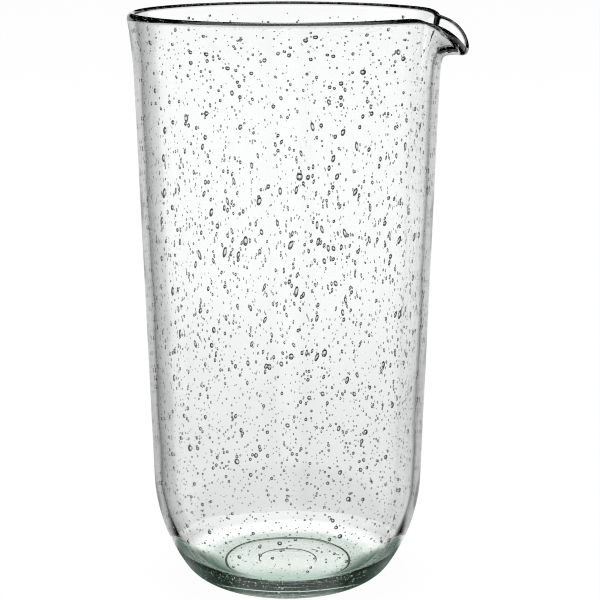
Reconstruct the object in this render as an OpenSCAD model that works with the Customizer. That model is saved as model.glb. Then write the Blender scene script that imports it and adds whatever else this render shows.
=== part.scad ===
// Cocktail pitcher: a tall tapered jug of hand-blown glass with no handle. It stands on a rounded foot
// with a shallow kick, and its fire-polished rim is pulled out and down into a small spout.
// Millimetres, +Z up, origin on the jug's axis at the table, spout towards -Y.

/* [Body] */
// Height from the table to the top of the rim
height = 200; // [170:1:240]
// Outer diameter of the straight wall, carried on up to the rim
body_d = 105.5; // [96:0.5:120]
// Lean of the wall away from upright, in degrees
taper = 1.9; // [0.5:0.1:3]
// Thickness of the blown wall
wall = 2.8; // [2:0.1:3.6]

/* [Foot] */
// Outer diameter of the flat ring that the jug stands on
foot_d = 50.5; // [40:0.5:60]
// Width of that flat ring
foot_ring = 2.5; // [1:0.1:4]
// Radius of the tight round just above the foot
foot_round = 14.5; // [8:0.5:18]
// Radius of the long round between the foot and the wall
heel_round = 58; // [40:1:80]
// Thickness of the floor, from the table to the inside
floor_t = 5.7; // [4:0.1:9]
// Radius of the round inside, between the floor and the heel
floor_round = 15; // [8:0.5:22]
// Rise of the kick, the shallow hollow under the floor
kick = 0.9; // [0.4:0.1:1.6]
// Width of the rolled edge of the kick
kick_edge = 1.2; // [0.6:0.1:2]
// Diameter of the ground mark in the middle of the kick
pontil_d = 21; // [12:0.5:28]
// Depth of the ground mark
pontil_depth = 0.3; // [0.2:0.1:0.8]

/* [Rim] */
// Height of the band at the top that is reheated to shape the rim
rim_band = 24; // [18:1:36]
// Lean of the flared rim away from upright at its lip, in degrees
lip_lean = 9; // [5:0.5:16]
// Radius of the lip's outer edge; its inner edge takes the rest of the wall
lip_round = 2; // [1:0.1:2.4]

/* [Spout] */
// How far the spout's lip reaches out past the rim
spout_reach = 7; // [4:0.5:10]
// How far the spout's lip dips below the rim
spout_droop = 10.4; // [6:0.2:13]
// Angle on each side of the spout over which it swells out of the rim, in degrees
spout_swell = 20; // [16:0.5:28]
// How bluntly the swell ends in plan: 2 is a round bow, and more is squarer
spout_blunt = 2.85; // [2:0.05:3.5]
// Share of the swell over which its crease with the rim is softened
spout_crease = 0.15; // [0.12:0.01:0.4]
// Angle on each side of the spout over which the rim dips, in degrees
spout_dip = 45; // [36:1:60]
// How sharply the dip gathers towards the middle of the spout
spout_fall = 6.9; // [3:0.1:9]
// Length of wall that still climbs under the spout before it bends outwards
spout_throat = 10.4; // [6:0.2:13]
// Length of the lip that runs level at the end of the spout
spout_lip = 8; // [4:0.5:10]
// Angle of the lip away from upright at the end of the spout, in degrees
spout_lean = 96; // [75:1:110]

/* [Hidden] */
$fn = 60;

function unit(v) = v / norm(v);

// The wall is a straight line in the section: its direction upwards, and the direction square to it
along_wall = [sin(taper), cos(taper)];
off_wall = [cos(taper), -sin(taper)];
wall_at_table = [body_d / 2 - height * tan(taper), 0];
function wall_point(z, depth) = [wall_at_table[0] + z * tan(taper) - depth / cos(taper), z];

// Foot and heel are two rounds: the foot's is tangent to the table, the heel's to the foot's and the wall
foot_room = (wall_at_table[0] - foot_d / 2) * cos(taper) / (1 - sin(taper));
foot_r = min(foot_round, 0.95 * foot_room);
foot_centre = [foot_d / 2, foot_r];
heel_reach = heel_round - foot_r;
heel_line = wall_at_table - heel_round * off_wall;
heel_gap = heel_line - foot_centre;
heel_fall = heel_gap * along_wall;
heel_climb = sqrt(pow(heel_fall, 2) - heel_gap * heel_gap + pow(heel_reach, 2)) - heel_fall;
heel_centre = heel_line + heel_climb * along_wall;
heel_top = heel_centre + heel_round * off_wall;
heel_bottom = foot_centre + foot_r * unit(foot_centre - heel_centre);

// Inside, the heel keeps the wall's thickness, and a tighter round joins it to the floor
inner_heel = heel_round - wall;
corner_z = floor_t + floor_round;
corner_reach = sqrt(max(pow(inner_heel - floor_round, 2) - pow(corner_z - heel_centre[1], 2), 1));
corner_centre = [heel_centre[0] + corner_reach, corner_z];
corner_top = heel_centre + inner_heel * unit(corner_centre - heel_centre);
inner_top = heel_centre + inner_heel * off_wall;

// The rim band bends outwards on an arc that leaves the wall without a corner, and ends in the lip
band_z = height - rim_band;
lip_r = min(lip_round, 0.85 * wall);
lip_nose = wall - lip_r;
lip_drop = (lip_r - lip_nose) * cos(lip_lean) + (wall / 2 - lip_nose) * sin(lip_lean) + lip_nose;
throat = wall_point(band_z, 0) - wall / 2 * off_wall;
mid_round = (height - lip_drop - throat[1]) / (sin(lip_lean) - sin(taper));
flare_centre = throat + mid_round * off_wall;
function flare_point(angle, radius) = flare_centre + radius * [-cos(angle), sin(angle)];
rim_centre = flare_point(lip_lean, mid_round);

// Sector of a round between two of its points. It reaches in to the centre and overlaps what it rounds off.
module round_slice(centre, radius, from, to) {
    intersection() {
        translate(centre)
            circle(radius, $fn = radius > 5 ? 60 : 24);
        polygon([centre, 2 * from - centre, 2 * to - centre]);
    }
}

// Half section of everything inside the jug's outer face, up to the rim band
module outer_section() {
    polygon([[0, 0], [foot_d / 2, 0], heel_bottom, heel_top, wall_point(band_z, 0), [0, band_z]]);
    round_slice(foot_centre, foot_r, [foot_d / 2, 0], heel_bottom);
    round_slice(heel_centre, heel_round, heel_bottom, heel_top);
}

// Half section of the room inside the jug, up to the rim band
module inner_section() {
    floor_edge = [corner_centre[0], floor_t];
    polygon([[0, floor_t], floor_edge, corner_top, inner_top, wall_point(height, wall), [0, height]]);
    round_slice(corner_centre, floor_round, floor_edge, corner_top);
    round_slice(heel_centre, inner_heel, corner_top, inner_top);
}

// Half section of a shallow hollow underneath, with a flat top and a rolled edge
module hollow_section(reach, depth, edge, bottom) {
    roll = (pow(edge, 2) + pow(depth, 2)) / (2 * depth);
    corner = [reach, bottom];
    top = [reach - edge, bottom + depth];
    polygon([[0, bottom - 1], [reach, bottom - 1], corner, top, [0, top[1]]]);
    round_slice(top - [0, roll], roll, corner, top);
}

// Half section of the kick, with the ground mark in its top
module kick_section() {
    hollow_section(foot_d / 2 - foot_ring, kick, kick_edge, 0);
    hollow_section(pontil_d / 2, pontil_depth, 2 * pontil_depth, kick);
}

// The glass between two heights, turned round the axis
module turned_glass(from, to) {
    rotate_extrude()
        intersection() {
            difference() {
                outer_section();
                inner_section();
                kick_section();
            }
            translate([0, from])
                square([body_d, to - from]);
        }
}

// Half section of the rim band, which ends in a lip that is rounder outside than inside
module rim_section() {
    out = unit(flare_centre - rim_centre);
    up = [-out[1], out[0]];
    difference() {
        intersection() {
            translate(flare_centre)
                circle(mid_round + wall / 2);
            polygon([
                throat - [2 * wall, throat[1] - band_z],
                [throat[0] + 2 * wall, band_z],
                rim_centre + 2 * wall * out,
                rim_centre - 2 * wall * out
            ]);
        }
        translate(flare_centre)
            circle(mid_round - wall / 2);
    }
    heart = rim_centre + (wall / 2 - lip_r) * out;
    nose_centre = heart + (lip_r - lip_nose) * up;
    outer_foot = rim_centre + wall / 2 * out;
    crest = heart + lip_r * up;
    nose_foot = nose_centre - lip_nose * out;
    inner_foot = rim_centre - wall / 2 * out;
    root = rim_centre - lip_nose * up;
    polygon([outer_foot, crest, nose_foot, inner_foot, root]);
    round_slice(heart, lip_r, outer_foot, crest);
    round_slice(nose_centre, lip_nose, crest, nose_foot);
}

// The spout is the rim band drawn out: a fan of sections, closest together where the spout swells
crease_end = spout_swell * pow(1 + spout_crease, 1 / spout_blunt);
crease_margin = 4;
fan_reach = max(spout_dip, crease_end + crease_margin);
swell_steps = 28;
dip_steps = 6;
fan_angles = concat(
    [for (k = [0 : dip_steps - 1]) -fan_reach + (fan_reach - crease_end) * k / dip_steps],
    [for (k = [-swell_steps : swell_steps]) crease_end * k / swell_steps],
    [for (k = [1 : dip_steps]) crease_end + (fan_reach - crease_end) * k / dip_steps]
);

// The middle of its glass follows a curve from the wall to the lip. The rim goes out by the swell, which
// starts at a crease, and down by the dip, which is wider and smooth.
function plain_line(t) = flare_point(taper + t * (lip_lean - taper), mid_round);
lip_end = rim_centre + [spout_reach, -spout_droop];
lip_bend = lip_end - spout_lip * [sin(spout_lean), cos(spout_lean)];
throat_bend = throat + along_wall * spout_throat;
function drawn_line(t) = pow(1 - t, 3) * throat + 3 * pow(1 - t, 2) * t * throat_bend
    + 3 * (1 - t) * pow(t, 2) * lip_bend + pow(t, 3) * lip_end;
function swell(angle) = let (rise = 1 - pow(abs(angle) / spout_swell, spout_blunt))
    rise > spout_crease ? rise : pow(max(rise + spout_crease, 0), 2) / (4 * spout_crease);
function dip(angle) = pow(cos(90 * min(abs(angle) / spout_dip, 1)), spout_fall);
function around(p, angle) = [p[0] * sin(angle), -p[0] * cos(angle), p[1]];
function mid_point(t, angle) = let (plain = plain_line(t), shift = drawn_line(t) - plain)
    around(plain + [swell(angle) * shift[0], dip(angle) * shift[1]], angle);

// Each section lies half a wall on either side of that curve, square to it, with the lip at its end
line_steps = 10;
lip_steps = 6;
nose_steps = 3;
function round_way(t, angle) = mid_point(t, angle + 0.05) - mid_point(t, angle - 0.05);
function up_way(t, angle) = mid_point(t + 0.001, angle) - mid_point(t - 0.001, angle);
function out_way(t, angle) = unit(cross(round_way(t, angle), up_way(t, angle)));
function side_point(t, angle, side) = mid_point(t, angle) + side * wall / 2 * out_way(t, angle);
function fan_section(angle) = let (
        out = out_way(1, angle),
        up = unit(cross(out, round_way(1, angle))),
        heart = mid_point(1, angle) + (wall / 2 - lip_r) * out,
        nose_centre = heart + (lip_r - lip_nose) * up
    )
    concat(
        [around(wall_point(band_z, 0), angle)],
        [for (k = [1 : line_steps - 1]) side_point(k / line_steps, angle, 1)],
        [for (k = [0 : lip_steps]) let (bend = 90 * k / lip_steps)
            heart + lip_r * (cos(bend) * out + sin(bend) * up)],
        [for (k = [1 : nose_steps]) let (bend = 90 + 90 * k / nose_steps)
            nose_centre + lip_nose * (cos(bend) * out + sin(bend) * up)],
        [for (k = [line_steps : -1 : 1]) side_point(k / line_steps, angle, -1)],
        [around(wall_point(band_z, wall), angle)]
    );
section_size = len(fan_section(0));

module base() {
    color("#9fb3a9")
        turned_glass(0, heel_top[1]);
}

module wall_tube() {
    color("#c9d4ce")
        turned_glass(heel_top[1], band_z);
}

module rim() {
    color("#b3c2bb")
        rotate([0, 0, fan_reach - 90])
            rotate_extrude(angle = 360 - 2 * fan_reach)
                rim_section();
}

module spout() {
    points = [for (angle = fan_angles) each fan_section(angle)];
    last = section_size - 1;
    last_fan = len(fan_angles) - 1;
    skin = [
        for (i = [0 : last_fan - 1], k = [0 : last])
            let (a = i * section_size + k, b = i * section_size + (k + 1) % section_size)
            each [[a, b + section_size, a + section_size], [a, b, b + section_size]]
    ];
    end_outline = [for (k = [last : -1 : 0]) k];
    far_outline = [for (k = [0 : last]) last_fan * section_size + k];
    color("#8ea69a")
        polyhedron(points, concat(skin, [end_outline, far_outline]), convexity = 6);
}

base();
wall_tube();
rim();
spout();
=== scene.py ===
# Cocktail pitcher in hand-blown bubbled glass, standing on a pale studio floor.
# Metres, +Z up, origin on the jug's axis at the table, spout towards -Y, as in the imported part.
import math

import bmesh
import bpy
import numpy as np
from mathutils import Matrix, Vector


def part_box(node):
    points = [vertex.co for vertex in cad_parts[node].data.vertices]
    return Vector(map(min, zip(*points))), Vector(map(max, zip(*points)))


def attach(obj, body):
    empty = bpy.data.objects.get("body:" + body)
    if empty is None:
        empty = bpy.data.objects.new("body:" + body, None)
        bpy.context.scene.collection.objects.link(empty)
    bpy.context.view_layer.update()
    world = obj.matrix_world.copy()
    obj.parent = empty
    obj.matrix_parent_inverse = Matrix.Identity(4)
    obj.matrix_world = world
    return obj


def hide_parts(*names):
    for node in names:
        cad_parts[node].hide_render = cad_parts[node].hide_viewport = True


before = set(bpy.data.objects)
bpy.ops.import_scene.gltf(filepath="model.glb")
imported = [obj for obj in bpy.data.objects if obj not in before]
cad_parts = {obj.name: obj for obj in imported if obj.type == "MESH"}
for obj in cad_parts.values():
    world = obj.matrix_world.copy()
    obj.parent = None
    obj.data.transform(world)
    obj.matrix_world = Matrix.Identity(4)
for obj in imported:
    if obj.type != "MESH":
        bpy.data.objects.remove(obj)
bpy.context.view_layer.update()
scene = bpy.context.scene

# Camera: it stands a little above the rim and looks down along the jug, with the spout on the right,
# turned slightly towards it. The axis of the jug is a little left of the middle of the picture.
MM = 0.001
camera_azimuth = 281.2
camera_distance = 640 * MM
camera_height = 243.7 * MM
camera_pitch = 12.66
axis_off_middle = 0.397
focal_length = 112.545
sensor_width = 36.0

camera_data = bpy.data.cameras.new("camera")
camera_data.sensor_width = sensor_width
camera_data.lens = focal_length
camera = bpy.data.objects.new("camera", camera_data)
around = math.radians(camera_azimuth)
camera.location = (
    camera_distance * math.sin(around),
    -camera_distance * math.cos(around),
    camera_height,
)
camera.rotation_euler = (
    math.radians(90 - camera_pitch),
    0,
    math.radians(camera_azimuth - axis_off_middle),
)
scene.collection.objects.link(camera)
scene.camera = camera

# Glass: one piece of soda-lime glass, blown, drawn in at the foot and reheated at the mouth, where
# the lip is pulled into a spout. Underneath are a flat foot ring, a shallow kick and a ground mark.
rim_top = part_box("rim")[1].z
band_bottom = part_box("rim")[0].z
band_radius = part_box("wall_tube")[1].x
wall = 2.8 * MM
taper = math.radians(1.9)
foot_radius = 25.25 * MM
foot_ring = 2.5 * MM
foot_round = 14.5 * MM
heel_round = 58 * MM
floor_thickness = 5.7 * MM
corner_round = 15 * MM
kick = 0.9 * MM
kick_edge = 1.2 * MM
mark_radius = 10.5 * MM
mark_depth = 0.3 * MM
mark_edge = 0.6 * MM
hub_radius = 3 * MM
edge_gap = 0.2 * MM
lip_lean = math.radians(9)
lip_round = 2 * MM
spout_reach = 7 * MM
spout_droop = 10.4 * MM
spout_swell = math.radians(20)
spout_blunt = 2.85
spout_crease = 0.15
spout_dip = math.radians(45)
spout_fall = 6.9
spout_throat = 10.4 * MM
spout_lip = 8 * MM
spout_lean = math.radians(96)


def unit(vector):
    return vector / np.linalg.norm(vector)


def arc(centre, radius, start, end, steps):
    turn = np.linspace(start, end, steps + 1)[:, None]
    return centre + radius * np.hstack([np.cos(turn), np.sin(turn)])


def angle_of(vector):
    return math.atan2(vector[1], vector[0])


def line(start, end, steps):
    return np.linspace(start, end, steps + 1)


# The half section, as in the part: a straight leaning wall, and two rounds below it outside and inside
along_wall = np.array([math.sin(taper), math.cos(taper)])
off_wall = np.array([math.cos(taper), -math.sin(taper)])


def wall_point(z, depth):
    return np.array([band_radius - (band_bottom - z) * math.tan(taper) - depth / math.cos(taper), z])


foot_centre = np.array([foot_radius, foot_round])
heel_line = wall_point(0, heel_round)
heel_gap = heel_line - foot_centre
heel_fall = heel_gap @ along_wall
heel_climb = math.sqrt(heel_fall**2 - heel_gap @ heel_gap + (heel_round - foot_round) ** 2) - heel_fall
heel_centre = heel_line + heel_climb * along_wall
heel_bottom = angle_of(foot_centre - heel_centre)
inner_heel = heel_round - wall
corner_z = floor_thickness + corner_round
corner_out = math.sqrt((inner_heel - corner_round) ** 2 - (corner_z - heel_centre[1]) ** 2)
corner_centre = np.array([heel_centre[0] + corner_out, corner_z])
inner_bottom = angle_of(corner_centre - heel_centre)


def hollow(reach, depth, edge, bottom):
    """Shallow round hollow with a flat top and a rolled edge, from the axis outwards."""
    roll = (edge**2 + depth**2) / (2 * depth)
    middle = np.array([reach - edge, bottom + depth - roll])
    return arc(middle, roll, math.pi / 2, angle_of(np.array([reach, bottom]) - middle), 5)


# The rim band bends outwards on an arc and ends in a fire-polished lip, rounder outside than inside
lip_nose = wall - lip_round
lip_rise = (lip_round - lip_nose) * math.cos(lip_lean)
lip_drop = lip_rise + (wall / 2 - lip_nose) * math.sin(lip_lean) + lip_nose
throat = wall_point(band_bottom, 0) - wall / 2 * off_wall
flare_round = (rim_top - lip_drop - throat[1]) / (math.sin(lip_lean) - math.sin(taper))
flare_centre = throat + flare_round * off_wall


def plain_line(t):
    lean = taper + t * (lip_lean - taper)
    return flare_centre + flare_round * np.array([-math.cos(lean), math.sin(lean)])


# The spout draws the band on along a curve. Its swell starts at a crease; its dip is wider and smooth
throat_bend = throat + along_wall * spout_throat
lip_end = plain_line(1) + np.array([spout_reach, -spout_droop])
lip_bend = lip_end - spout_lip * np.array([math.sin(spout_lean), math.cos(spout_lean)])


def mid_point(t, turn):
    drawn = (
        (1 - t) ** 3 * throat
        + 3 * (1 - t) ** 2 * t * throat_bend
        + 3 * (1 - t) * t**2 * lip_bend
        + t**3 * lip_end
    )
    swell = 1 - (abs(turn) / spout_swell) ** spout_blunt
    if swell < spout_crease:
        swell = max(swell + spout_crease, 0) ** 2 / (4 * spout_crease)
    dip = math.cos(math.pi / 2 * min(abs(turn) / spout_dip, 1)) ** spout_fall
    reach, z = plain_line(t) + np.array([swell, dip]) * (drawn - plain_line(t))
    return np.array([reach * math.sin(turn), -reach * math.cos(turn), z])


def band_frame(t, turn):
    round_way = mid_point(t, turn + 0.001) - mid_point(t, turn - 0.001)
    way = mid_point(t + 0.001, turn) - mid_point(t - 0.001, turn)
    across = unit(np.cross(round_way, way))
    return mid_point(t, turn), across, unit(np.cross(across, round_way))


band_steps = 12
lip_steps = 9
nose_steps = 4
edge_loop = 0.15 * MM


def band_section(turn):
    steps = [k / band_steps for k in range(1, band_steps)] + [0.99, 1]
    frames = [band_frame(t, turn) for t in steps]
    middle, across, ahead = frames.pop()
    crest = middle + (wall / 2 - lip_round) * across
    nose = crest + (lip_round - lip_nose) * ahead
    return np.array(
        [mid + wall / 2 * side for mid, side, forward in frames]
        + [
            crest + lip_round * (math.cos(bend) * across + math.sin(bend) * ahead)
            for bend in np.linspace(0, math.pi / 2, lip_steps + 1)
        ]
        + [
            nose + lip_nose * (math.cos(bend) * across + math.sin(bend) * ahead)
            for bend in np.linspace(math.pi / 2, math.pi, nose_steps + 1)[1:]
        ]
        + [middle - wall / 2 * across + (lip_round - lip_nose - edge_loop) * ahead]
        + [mid - wall / 2 * side for mid, side, forward in reversed(frames)]
    )


def turned(section, turn):
    reach, z = section.T
    return np.column_stack([reach * math.sin(turn), -reach * math.cos(turn), z])


outer_line = np.vstack(
    [
        [[hub_radius, kick + mark_depth]],
        hollow(mark_radius, mark_depth, mark_edge, kick),
        line([mark_radius + edge_gap, kick], [foot_radius - foot_ring - kick_edge - edge_gap, kick], 2),
        hollow(foot_radius - foot_ring, kick, kick_edge, 0),
        line([foot_radius - foot_ring + edge_gap, 0], [foot_radius - edge_gap, 0], 1),
        arc(foot_centre, foot_round, -math.pi / 2, heel_bottom, 14),
        arc(heel_centre, heel_round, heel_bottom, -taper, 16)[1:],
        line(heel_centre + heel_round * off_wall, wall_point(band_bottom, 0), 10)[1:],
    ]
)
inner_line = np.vstack(
    [
        line(wall_point(band_bottom, wall), heel_centre + inner_heel * off_wall, 28),
        arc(heel_centre, inner_heel, -taper, inner_bottom, 16)[1:],
        arc(corner_centre, corner_round, inner_bottom, -math.pi / 2, 12)[1:],
        line(corner_centre - [0.3 * MM, corner_round], [hub_radius, floor_thickness], 2),
    ]
)

# Blowing leaves the wall uneven: low waves run round and up it, most of all inside
ripple = 0.04 * MM
outer_ripple = 0.1
ripple_bottom = 6 * MM
ripple_growth = 30 * MM
spout_turn = math.radians(27)
spout_step = math.radians(1)
plain_step = math.radians(3)


def uneven(turn, z):
    rise = z / rim_top
    return ripple * (
        np.sin(3 * turn + 14 * rise)
        + 0.7 * np.sin(5 * turn - 27 * rise + 1)
        + 0.5 * np.sin(8 * turn + 48 * rise + 2)
        + 0.3 * np.sin(13 * turn - 75 * rise + 3)
    )


turns = np.concatenate(
    [
        np.arange(-math.pi, -spout_turn, plain_step),
        np.arange(-spout_turn, spout_turn, spout_step),
        np.arange(spout_turn, math.pi - plain_step / 2, plain_step),
    ]
)
points = []
for turn in turns:
    section = np.vstack([turned(outer_line, turn), band_section(turn), turned(inner_line, turn)])
    first_inner = len(outer_line) + band_steps + lip_steps + 1
    waviness = np.where(np.arange(len(section)) >= first_inner, 1.0, outer_ripple)
    waviness *= np.clip((section[:, 2] - ripple_bottom) / ripple_growth, 0, 1)
    reach = np.hypot(section[:, 0], section[:, 1])
    section[:, :2] *= (1 + waviness * uneven(turn, section[:, 2]) / reach)[:, None]
    points.append(section)
section_size = len(points[0])
vertices = np.vstack(points + [[[0, 0, kick + mark_depth], [0, 0, floor_thickness]]])
under = len(turns) * section_size
inside = under + 1
faces = []
for i in range(len(turns)):
    a = i * section_size
    b = (i + 1) % len(turns) * section_size
    faces.append((under, b, a))
    faces += [(a + k, b + k, b + k + 1, a + k + 1) for k in range(section_size - 1)]
    faces.append((a + section_size - 1, b + section_size - 1, inside))
glass_mesh = bpy.data.meshes.new("glass")
glass_mesh.from_pydata(vertices.tolist(), [], faces)


def add_node(tree, kind, inputs=None, **settings):
    made = tree.nodes.new(kind)
    for name, value in settings.items():
        setattr(made, name, value)
    for key, value in (inputs or {}).items():
        if isinstance(value, bpy.types.NodeSocket):
            tree.links.new(value, made.inputs[key])
        else:
            made.inputs[key].default_value = value
    return made


def linear(hex_colour):
    parts = [int(hex_colour[i : i + 2], 16) / 255 for i in (1, 3, 5)]
    return [c / 12.92 if c <= 0.04045 else ((c + 0.055) / 1.055) ** 2.4 for c in parts] + [1.0]


# Blown soda-lime glass: clear, fire-polished all over, so it shows as edges and bent light. Iron in the
# sand tints it, so that it is nearly colourless through the wall and grey-green through the foot.
glass = bpy.data.materials.new("blown_soda_lime_glass")
glass.use_nodes = True
glass_tree = glass.node_tree
glass_tree.nodes.clear()
glass_surface = add_node(
    glass_tree,
    "ShaderNodeBsdfPrincipled",
    {"Base Color": linear("#ffffff"), "Roughness": 0.0, "IOR": 1.52, "Transmission Weight": 1.0},
)
glass_tint = add_node(
    glass_tree, "ShaderNodeVolumeAbsorption", {"Color": linear("#d6e1dc"), "Density": 30.0}
)
add_node(
    glass_tree,
    "ShaderNodeOutputMaterial",
    {"Surface": glass_surface.outputs["BSDF"], "Volume": glass_tint.outputs["Volume"]},
)

# Bubbles: air stirred into the melt, caught in the middle of the wall and drawn out as it was blown.
# They are round near the foot, tall and leaning half way up, and pressed flat where the rim was worked.
bubble_skin = 0.8 * MM
rim_inset = 0.9
carrier_step = 3
band_rows = 8
rim_seeds = 0.6
heel_seeds = 1.0
floor_seeds = 0.15
middling_bubble = 1.0 * MM
large_bubble = 1.5 * MM

heel_inner = np.vstack(
    [
        arc(heel_centre, inner_heel, -taper, inner_bottom, 12)[1:],
        arc(corner_centre, corner_round, inner_bottom, -math.pi / 2, 6)[1:],
        line([corner_centre[0], floor_thickness], [2 * MM, floor_thickness], 8)[1:],
    ]
)
heel_out = np.vstack(
    [
        arc(np.zeros(2), 1, -taper, inner_bottom, 12)[1:],
        arc(np.zeros(2), 1, inner_bottom, -math.pi / 2, 6)[1:],
        [[0, -1]] * 8,
    ]
)
gaps = outer_line[None] - heel_inner[:, None]
through = (gaps * heel_out[:, None]).sum(2)
aside = np.abs(gaps[:, :, 0] * heel_out[:, None, 1] - gaps[:, :, 1] * heel_out[:, None, 0])
nearest = np.where(through > 0, aside, 1).argmin(1)
heel_glass = through[np.arange(len(heel_inner)), nearest]
heel_mid = heel_inner + heel_out * heel_glass[:, None] / 2

carrier_turns = turns[::carrier_step]
carrier_points, room, seediness = [], [], []
for turn in carrier_turns:
    band = [mid_point(rim_inset * (1 - k / band_rows), turn) for k in range(band_rows)]
    tube = line(wall_point(band_bottom, wall / 2), heel_centre + (inner_heel + wall / 2) * off_wall, 24)
    carrier_points.append(np.vstack([band, turned(np.vstack([tube, heel_mid]), turn)]))
    room += [wall / 2 - bubble_skin] * (len(band) + len(tube)) + (heel_glass / 2 - bubble_skin).tolist()
    seediness += [rim_seeds] * len(band) + np.linspace(rim_seeds, heel_seeds, len(tube)).tolist()
    seediness += np.linspace(heel_seeds, floor_seeds, len(heel_mid)).tolist()
rows = len(carrier_points[0])
carrier_faces = [
    (i * rows + k, i * rows + k + 1, after * rows + k + 1, after * rows + k)
    for i in range(len(carrier_turns))
    for after in [(i + 1) % len(carrier_turns)]
    for k in range(rows - 1)
]
carrier_mesh = bpy.data.meshes.new("mid_wall")
carrier_mesh.from_pydata(np.vstack(carrier_points).tolist(), [], carrier_faces)
carrier_mesh.attributes.new("room", "FLOAT", "POINT").data.foreach_set("value", room)
carrier_mesh.attributes.new("seediness", "FLOAT", "POINT").data.foreach_set("value", seediness)
carrier = bpy.data.objects.new("mid_wall", carrier_mesh)
scene.collection.objects.link(carrier)

bubble_tree = bpy.data.node_groups.new("bubbles_in_the_glass", "GeometryNodeTree")
bubble_tree.interface.new_socket("Mid wall", in_out="INPUT", socket_type="NodeSocketGeometry")
bubble_tree.interface.new_socket("Bubbles", in_out="OUTPUT", socket_type="NodeSocketGeometry")
bubble_sizes = {
    "Bubbles per square metre": 138000.0,
    "Closest": 0.8 * MM,
    "Usual size": 0.7 * MM,
    "Spread of sizes": 0.46,
    "Smallest": 0.46 * MM,
    "Smaller at the foot": 0.82,
    "Stretch half way up": 2.0,
    "Flatness at the rim": 0.38,
    "Lean": math.radians(-12),
    "Height": rim_top,
}
bubble_sockets = {
    name: bubble_tree.interface.new_socket(name, in_out="INPUT", socket_type="NodeSocketFloat")
    for name in bubble_sizes
}
given = add_node(bubble_tree, "NodeGroupInput").outputs
values = {name: given[name] for name in bubble_sizes}
for name in ("room", "seediness"):
    values[name] = add_node(
        bubble_tree, "GeometryNodeInputNamedAttribute", {"Name": name}, data_type="FLOAT"
    ).outputs["Attribute"]
scatter = add_node(
    bubble_tree,
    "GeometryNodeDistributePointsOnFaces",
    {
        "Mesh": given["Mid wall"],
        "Distance Min": values["Closest"],
        "Density Max": values["Bubbles per square metre"],
        "Density Factor": values["seediness"],
        "Seed": 7,
    },
    distribute_method="POISSON",
)
place = add_node(
    bubble_tree,
    "ShaderNodeSeparateXYZ",
    {"Vector": add_node(bubble_tree, "GeometryNodeInputPosition").outputs["Position"]},
)
values["z"] = place.outputs["Z"]
chances = {
    "size chance 1": (-1.0, 1.0),
    "size chance 2": (-1.0, 1.0),
    "size chance 3": (-1.0, 1.0),
    "shape chance": (0.3, 1.5),
    "depth chance": (-1.0, 1.0),
    "lean chance": (0.0, 2.0),
}
for seed, (name, (low, high)) in enumerate(chances.items()):
    values[name] = add_node(
        bubble_tree, "FunctionNodeRandomValue", {2: low, 3: high, "Seed": seed + 1}, data_type="FLOAT"
    ).outputs[1]
values["rise"] = add_node(
    bubble_tree, "ShaderNodeMath", {0: values["z"], 1: values["Height"]}, operation="DIVIDE"
).outputs[0]
for name, start, end, low, high in (
    ("stretch", 0.2, 0.5, 1.0, values["Stretch half way up"]),
    ("flatten", 0.7, 0.98, 1.0, values["Flatness at the rim"]),
    ("grow", 0.1, 0.6, values["Smaller at the foot"], 1.0),
):
    values[name] = add_node(
        bubble_tree,
        "ShaderNodeMapRange",
        {"Value": values["rise"], "From Min": start, "From Max": end, "To Min": low, "To Max": high},
        interpolation_type="SMOOTHSTEP",
    ).outputs[0]
# Each row names a result, how it is worked out, and what from. Many bubbles come out small and few large
for name, operation, first, second in (
    ("size chances", "ADD", "size chance 1", "size chance 2"),
    ("size chance", "ADD", "size chances", "size chance 3"),
    ("size power", "MULTIPLY", "size chance", "Spread of sizes"),
    ("size factor", "EXPONENT", "size power", 0.0),
    ("usual size", "MULTIPLY", "grow", "Usual size"),
    ("free size", "MULTIPLY", "size factor", "usual size"),
    ("breadth", "MAXIMUM", "free size", "Smallest"),
    ("usual shape", "MULTIPLY", "stretch", "flatten"),
    ("shape", "POWER", "usual shape", "shape chance"),
    ("taller", "POWER", "shape", 0.6),
    ("narrower", "POWER", "shape", -0.4),
    ("tall", "MULTIPLY", "breadth", "taller"),
    ("wide", "MULTIPLY", "breadth", "narrower"),
    ("whole room", "MULTIPLY", "room", 2.0),
    ("deep", "MINIMUM", "wide", "whole room"),
    ("half deep", "MULTIPLY", "deep", 0.5),
    ("play", "SUBTRACT", "room", "half deep"),
    ("depth", "MULTIPLY", "play", "depth chance"),
    ("tilt", "MULTIPLY", "Lean", "lean chance"),
    ("is middling", "GREATER_THAN", "breadth", middling_bubble),
    ("is large", "GREATER_THAN", "breadth", large_bubble),
    ("kind", "ADD", "is middling", "is large"),
):
    inputs = {0: values.get(first, first), 1: values.get(second, second)}
    values[name] = add_node(bubble_tree, "ShaderNodeMath", inputs, operation=operation).outputs[0]
shift = add_node(
    bubble_tree,
    "ShaderNodeVectorMath",
    {0: scatter.outputs["Normal"], "Scale": values["depth"]},
    operation="SCALE",
)
facing = add_node(
    bubble_tree, "FunctionNodeAlignRotationToVector", {"Vector": scatter.outputs["Normal"]}, axis="Y"
)
upright = add_node(
    bubble_tree,
    "FunctionNodeAlignRotationToVector",
    {"Rotation": facing.outputs[0], "Vector": (0, 0, 1)},
    axis="Z",
    pivot_axis="Y",
)
tilt = add_node(bubble_tree, "FunctionNodeAxisAngleToRotation", {"Axis": (0, 1, 0), "Angle": values["tilt"]})
leaning = add_node(
    bubble_tree,
    "FunctionNodeRotateRotation",
    {"Rotation": upright.outputs[0], "Rotate By": tilt.outputs[0]},
    rotation_space="LOCAL",
)
kinds = add_node(bubble_tree, "GeometryNodeJoinGeometry")
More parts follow.
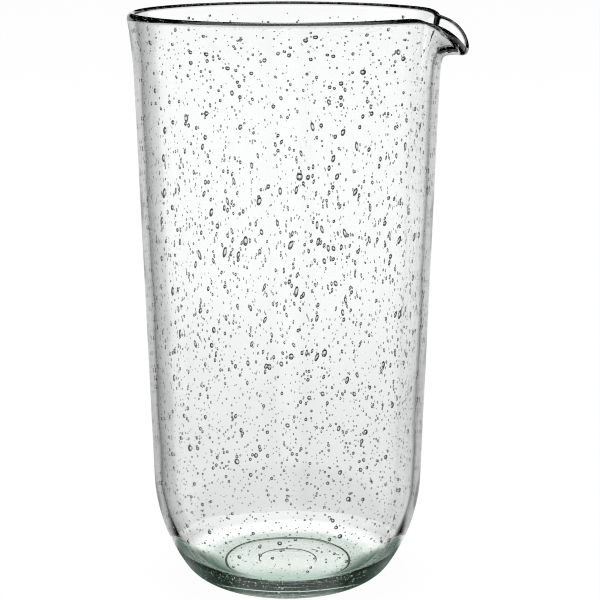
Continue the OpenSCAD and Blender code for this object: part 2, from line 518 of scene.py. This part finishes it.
for segments, rings in ((9, 5), (7, 4), (5, 3)):
    shell = add_node(
        bubble_tree, "GeometryNodeMeshUVSphere", {"Radius": 0.5, "Segments": segments, "Rings": rings}
    )
    one = add_node(bubble_tree, "GeometryNodeGeometryToInstance", {0: shell.outputs["Mesh"]})
    bubble_tree.links.new(one.outputs[0], kinds.inputs[0])
scale = add_node(
    bubble_tree, "ShaderNodeCombineXYZ", {"X": values["wide"], "Y": values["deep"], "Z": values["tall"]}
)
moved = add_node(
    bubble_tree,
    "GeometryNodeSetPosition",
    {"Geometry": scatter.outputs["Points"], "Offset": shift.outputs[0]},
)
placed = add_node(
    bubble_tree,
    "GeometryNodeInstanceOnPoints",
    {
        "Points": moved.outputs[0],
        "Instance": kinds.outputs[0],
        "Pick Instance": True,
        "Instance Index": values["kind"],
        "Rotation": leaning.outputs[0],
        "Scale": scale.outputs[0],
    },
)
real = add_node(bubble_tree, "GeometryNodeRealizeInstances", {0: placed.outputs[0]})
flipped = add_node(bubble_tree, "GeometryNodeFlipFaces", {0: real.outputs[0]})
smooth = add_node(bubble_tree, "GeometryNodeSetShadeSmooth", {0: flipped.outputs[0]})
coated = add_node(bubble_tree, "GeometryNodeSetMaterial", {0: smooth.outputs[0], "Material": glass})
add_node(bubble_tree, "NodeGroupOutput", {0: coated.outputs[0]})

blowing = carrier.modifiers.new("bubbles", "NODES")
blowing.node_group = bubble_tree
for name, value in bubble_sizes.items():
    blowing[bubble_sockets[name].identifier] = value
ready = carrier.evaluated_get(bpy.context.evaluated_depsgraph_get())
bubble_mesh = bpy.data.meshes.new_from_object(ready)
bpy.data.objects.remove(carrier)

# The bubbles are hollows in the glass, so they belong to its mesh: their faces point away from the glass
joined = bmesh.new()
joined.from_mesh(glass_mesh)
joined.from_mesh(bubble_mesh)
joined.to_mesh(glass_mesh)
joined.free()
glass_mesh.shade_smooth()
glass_mesh.materials.clear()
glass_mesh.materials.append(glass)
pitcher = bpy.data.objects.new("pitcher_glass", glass_mesh)
scene.collection.objects.link(pitcher)
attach(pitcher, "root")
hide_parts("base", "wall_tube", "rim", "spout")
scene.cycles.max_bounces = 32
scene.cycles.transmission_bounces = 32
# One pixel of filter keeps the small bubbles crisp
scene.cycles.filter_width = 1.0

# Floor: a plain sheet of matt white studio paper that the jug stands on, wide enough to fill the view.
# The camera sees it white, apart from the soft shadow of the jug. The glass sees the pad instead.
floor_reach = 6.0
floor_gap = 0.2 * MM
white_share = 0.97

floor_mesh = bpy.data.meshes.new("floor")
floor_signs = [(-1, -1), (1, -1), (1, 1), (-1, 1)]
floor_corners = [(x * floor_reach, y * floor_reach, -floor_gap) for x, y in floor_signs]
floor_mesh.from_pydata(floor_corners, [], [(0, 1, 2, 3)])
floor_paper = bpy.data.materials.new("white_studio_paper")
floor_paper.use_nodes = True
floor_tree = floor_paper.node_tree
floor_tree.nodes.clear()
floor_rays = add_node(floor_tree, "ShaderNodeLightPath").outputs
paper_share = add_node(
    floor_tree, "ShaderNodeMath", {0: floor_rays["Is Camera Ray"], 1: white_share}, operation="MULTIPLY"
)
matt_paper = add_node(floor_tree, "ShaderNodeBsdfDiffuse", {"Color": linear("#f7f7f7")})
lit_paper = add_node(floor_tree, "ShaderNodeEmission", {"Color": linear("#ffffff"), "Strength": 1.0})
paper = add_node(
    floor_tree,
    "ShaderNodeMixShader",
    {0: paper_share.outputs[0], 1: matt_paper.outputs[0], 2: lit_paper.outputs[0]},
)
add_node(floor_tree, "ShaderNodeOutputMaterial", {"Surface": paper.outputs[0]})
floor_mesh.materials.append(floor_paper)
floor = bpy.data.objects.new("floor", floor_mesh)
scene.collection.objects.link(floor)
floor.visible_glossy = False
floor.visible_transmission = False

# Pad: a glowing sheet under the jug that only the glass sees, coloured with painted light and shade. Its
# bright ring is painted light, and its darker ring under the foot, green front and dark sides are painted
# shadow, tuned so that the foot looks as it does in the photograph, from the camera's side.
pad_reach = 58 * MM
# Painted shade and light in rings about the axis: darker under the foot ring, brightest just beyond it
pad_rings_painted_shade_and_light = [
    (0, "#e3e5e4"),
    (19, "#dfe5e2"),
    (24, "#c3cfc7"),
    (28, "#c9d3cc"),
    (32, "#e4e7e5"),
    (37, "#f8f8f8"),
    (46, "#cecece"),
]
# Painted shadow: the front of the sheet darker and greener, as if in the jug's own shadow
pad_front_painted_shadow = [(2, "#ffffff"), (17, "#c4d4cb"), (27, "#d4e4da"), (36, "#d2e2d9")]
# Painted shadow: dark green patches on the sheet to the left and right of the front
pad_sides_painted_shadow = [(18, "#ffffff"), (31, "#6b7f75"), (38, "#6b7f75"), (56, "#ffffff")]
pad_strength = 1.6
pad_blend = 20 * MM

pad_mesh = bpy.data.meshes.new("pad")
pad_form = bmesh.new()
bmesh.ops.create_circle(pad_form, cap_ends=True, radius=pad_reach, segments=96)
bmesh.ops.translate(pad_form, verts=pad_form.verts, vec=(0, 0, -2 * floor_gap))
pad_form.to_mesh(pad_mesh)
pad_form.free()
# The sheet only glows, and its light and dark patches are painted light and shade
pad_sheet = bpy.data.materials.new("glowing_sheet_painted_light_and_shade")
pad_sheet.use_nodes = True
pad_tree = pad_sheet.node_tree
pad_tree.nodes.clear()
on_pad = add_node(pad_tree, "ShaderNodeTexCoord").outputs["Object"]
from_axis = add_node(pad_tree, "ShaderNodeVectorMath", {0: on_pad}, operation="LENGTH").outputs["Value"]
to_camera = (math.sin(around), -math.cos(around), 0)
to_side = (math.cos(around), math.sin(around), 0)
forwards = add_node(
    pad_tree, "ShaderNodeVectorMath", {0: on_pad, 1: to_camera}, operation="DOT_PRODUCT"
).outputs["Value"]
sidelong = add_node(
    pad_tree, "ShaderNodeVectorMath", {0: on_pad, 1: to_side}, operation="DOT_PRODUCT"
).outputs["Value"]
sideways = add_node(pad_tree, "ShaderNodeMath", {0: sidelong}, operation="ABSOLUTE").outputs[0]
# The painted shadow at the sides grows forwards, and ends towards the front, the back and the edge of the
# pad
bound = None
for value, slope, offset in (
    (forwards, 0.5, 0),
    (forwards, -1.0, 36),
    (forwards, 2.0, 10),
    (from_axis, -2.5, 113),
):
    limit = add_node(
        pad_tree, "ShaderNodeMath", {0: value, 1: slope, 2: offset * MM}, operation="MULTIPLY_ADD"
    ).outputs[0]
    if bound is not None:
        limit = add_node(
            pad_tree, "ShaderNodeMath", {0: bound, 1: limit, 2: pad_blend}, operation="SMOOTH_MIN"
        ).outputs[0]
    bound = limit
flankwards = add_node(pad_tree, "ShaderNodeMath", {0: sideways, 1: bound}, operation="ADD").outputs[0]
pad_colour = (1, 1, 1)
for value, pad_stops in ((from_axis, pad_rings_painted_shade_and_light), (forwards, pad_front_painted_shadow), (flankwards, pad_sides_painted_shadow)):
    start = pad_stops[0][0]
    end = pad_stops[-1][0]
    share = add_node(
        pad_tree, "ShaderNodeMapRange", {"Value": value, "From Min": start * MM, "From Max": end * MM}
    )
    ramp = add_node(pad_tree, "ShaderNodeValToRGB", {"Fac": share.outputs[0]})
    ramp.color_ramp.interpolation = "EASE"
    for k in range(len(pad_stops) - 2):
        ramp.color_ramp.elements.new(0.5)
    for stop, (where, colour) in zip(ramp.color_ramp.elements, pad_stops):
        stop.position = (where - start) / (end - start)
        stop.color = linear(colour)
    pad_colour = add_node(
        pad_tree, "ShaderNodeVectorMath", {0: ramp.outputs[0], 1: pad_colour}, operation="MULTIPLY"
    ).outputs[0]
pad_glow = add_node(pad_tree, "ShaderNodeEmission", {"Color": pad_colour, "Strength": pad_strength})
add_node(pad_tree, "ShaderNodeOutputMaterial", {"Surface": pad_glow.outputs[0]})
pad_mesh.materials.append(pad_sheet)
pad = bpy.data.objects.new("pad", pad_mesh)
scene.collection.objects.link(pad)
pad.visible_camera = False
pad.visible_diffuse = False
pad.visible_shadow = False

# Studio: a dark room with white panels of cloth round the jug and a bright ceiling. Glass shows the panel
# straight behind it, and dark edges where it bends the light past the panel.

# Each panel: brightness, bearing of the view that it stands behind, half width and its blur, lowest and
# highest edge and their blur, in degrees seen from the jug
panels = [
    (0.96, 280, 16, 18, -27, 7, 4),
    (0.63, 281.2, 37, 10, -27, 7, 4),
    (1.0, 222, 15, 8, -34, 9, 10),
    (0.6, 170, 52, 20, -34, 9, 10),
    (1.0, 45, 66, 26, -34, 9, 10),
    (1.0, 0, 190, 10, 50, 100, 10),
]
panel_levels = [(-90, 0.86), (-19, 0.88), (-16, 0.94), (-12, 1.1), (90, 1.1)]

world = bpy.data.worlds.new("studio")
world.use_nodes = True
world_tree = world.node_tree
world_tree.nodes.clear()
way = add_node(world_tree, "ShaderNodeTexCoord").outputs["Generated"]
flat_way = add_node(world_tree, "ShaderNodeVectorMath", {0: way, 1: (1, 1, 0)}, operation="MULTIPLY")
level_way = add_node(
    world_tree, "ShaderNodeVectorMath", {0: flat_way.outputs[0]}, operation="NORMALIZE"
).outputs[0]
way_up = add_node(world_tree, "ShaderNodeSeparateXYZ", {0: way}).outputs["Z"]
lift = add_node(world_tree, "ShaderNodeMath", {0: way_up}, operation="ARCSINE").outputs[0]
glow = 0.0
for panel, bearing, half_width, side_blur, lowest, highest, blur in panels:
    turn = math.radians(bearing)
    middle = (-math.sin(turn), math.cos(turn), 0)
    near = add_node(world_tree, "ShaderNodeVectorMath", {0: level_way, 1: middle}, operation="DOT_PRODUCT")
    off = add_node(
        world_tree, "ShaderNodeMath", {0: near.outputs["Value"]}, operation="ARCCOSINE"
    ).outputs[0]
    edges = ((off, half_width, -side_blur), (lift, lowest, blur), (lift, highest, -blur))
    for value, edge, width in edges:
        dark, light = (math.radians(edge + side * width / 2) for side in (-1, 1))
        share = add_node(
            world_tree,
            "ShaderNodeMapRange",
            {"Value": value, "From Min": dark, "From Max": light},
            interpolation_type="SMOOTHSTEP",
        ).outputs[0]
        panel = add_node(world_tree, "ShaderNodeMath", {0: panel, 1: share}, operation="MULTIPLY").outputs[0]
    glow = add_node(world_tree, "ShaderNodeMath", {0: glow, 1: panel}, operation="MAXIMUM").outputs[0]
lift_share = add_node(
    world_tree, "ShaderNodeMapRange", {"Value": lift, "From Min": -math.pi / 2, "From Max": math.pi / 2}
)
shade = add_node(world_tree, "ShaderNodeValToRGB", {"Fac": lift_share.outputs[0]})
stops = shade.color_ramp.elements
for angle, brightness in panel_levels[1:-1]:
    stops.new(angle / 180 + 0.5)
for stop, (angle, brightness) in zip(stops, panel_levels):
    stop.position = angle / 180 + 0.5
    stop.color = (brightness, brightness, brightness, 1)
glow = add_node(
    world_tree, "ShaderNodeMath", {0: glow, 1: shade.outputs[0]}, operation="MULTIPLY"
).outputs[0]
world_rays = add_node(world_tree, "ShaderNodeLightPath").outputs
glow = add_node(
    world_tree, "ShaderNodeMath", {0: glow, 1: world_rays["Is Camera Ray"]}, operation="MAXIMUM"
).outputs[0]
studio = add_node(world_tree, "ShaderNodeBackground", {"Color": linear("#ffffff"), "Strength": glow})
add_node(world_tree, "ShaderNodeOutputWorld", {"Surface": studio.outputs[0]})
scene.world = world

# Softbox: a square lamp behind white cloth, hung straight above the jug. It lights the floor and gives the
# jug its soft shadow, and the glass doesn't show it.
softbox_data = bpy.data.lights.new("softbox", "AREA")
softbox_data.size = 1.6
softbox_data.energy = 45.0
softbox = bpy.data.objects.new("softbox", softbox_data)
softbox.location = (0, 0, 2.0)
softbox.visible_glossy = False
softbox.visible_transmission = False
scene.collection.objects.link(softbox)
scene.view_settings.view_transform = "Standard"
